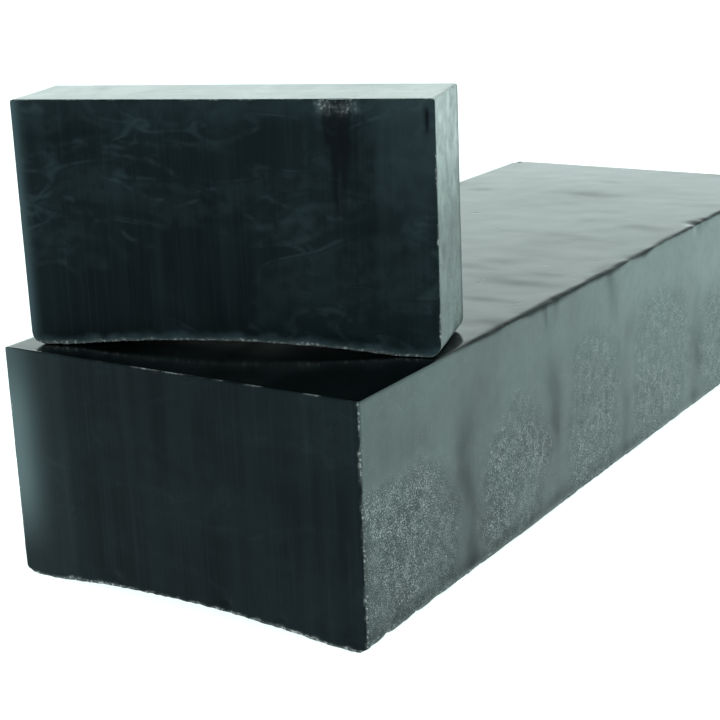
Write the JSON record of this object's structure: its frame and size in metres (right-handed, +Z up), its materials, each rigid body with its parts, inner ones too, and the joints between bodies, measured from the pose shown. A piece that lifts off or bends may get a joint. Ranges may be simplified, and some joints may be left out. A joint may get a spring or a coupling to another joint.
{
  "type": "charcoal soap loaf",
  "caption": "Rectangular cast loaf of black charcoal soap, cut flat at one end, with a loose cut slice standing on its long edge across the top.",
  "frame": {"origin": "middle of the loaf's footprint, on the surface that it stands on", "axes": "+Z up; Y along the loaf, with its cut end towards -Y and its moulded end towards +Y; X across its width"},
  "size_m": [0.0924, 0.24, 0.105],
  "materials": {
    "loaf_charcoal": "waxy semi-gloss cast black with a grey-green sheen and frosted patches on the moulded sides",
    "slice_charcoal": "waxy semi-gloss black, knife-cut faces with fine vertical drag marks"
  },
  "bodies": {
    "loaf": {"loaf": "loaf_charcoal"},
    "slice": {"slice": "slice_charcoal"}
  },
  "joints": [
    {"name": "slice_lift", "type": "slide", "parent": "loaf", "child": "slice", "axis": [0, 0, 1], "range_m": [0, 0.08]}
  ]
}
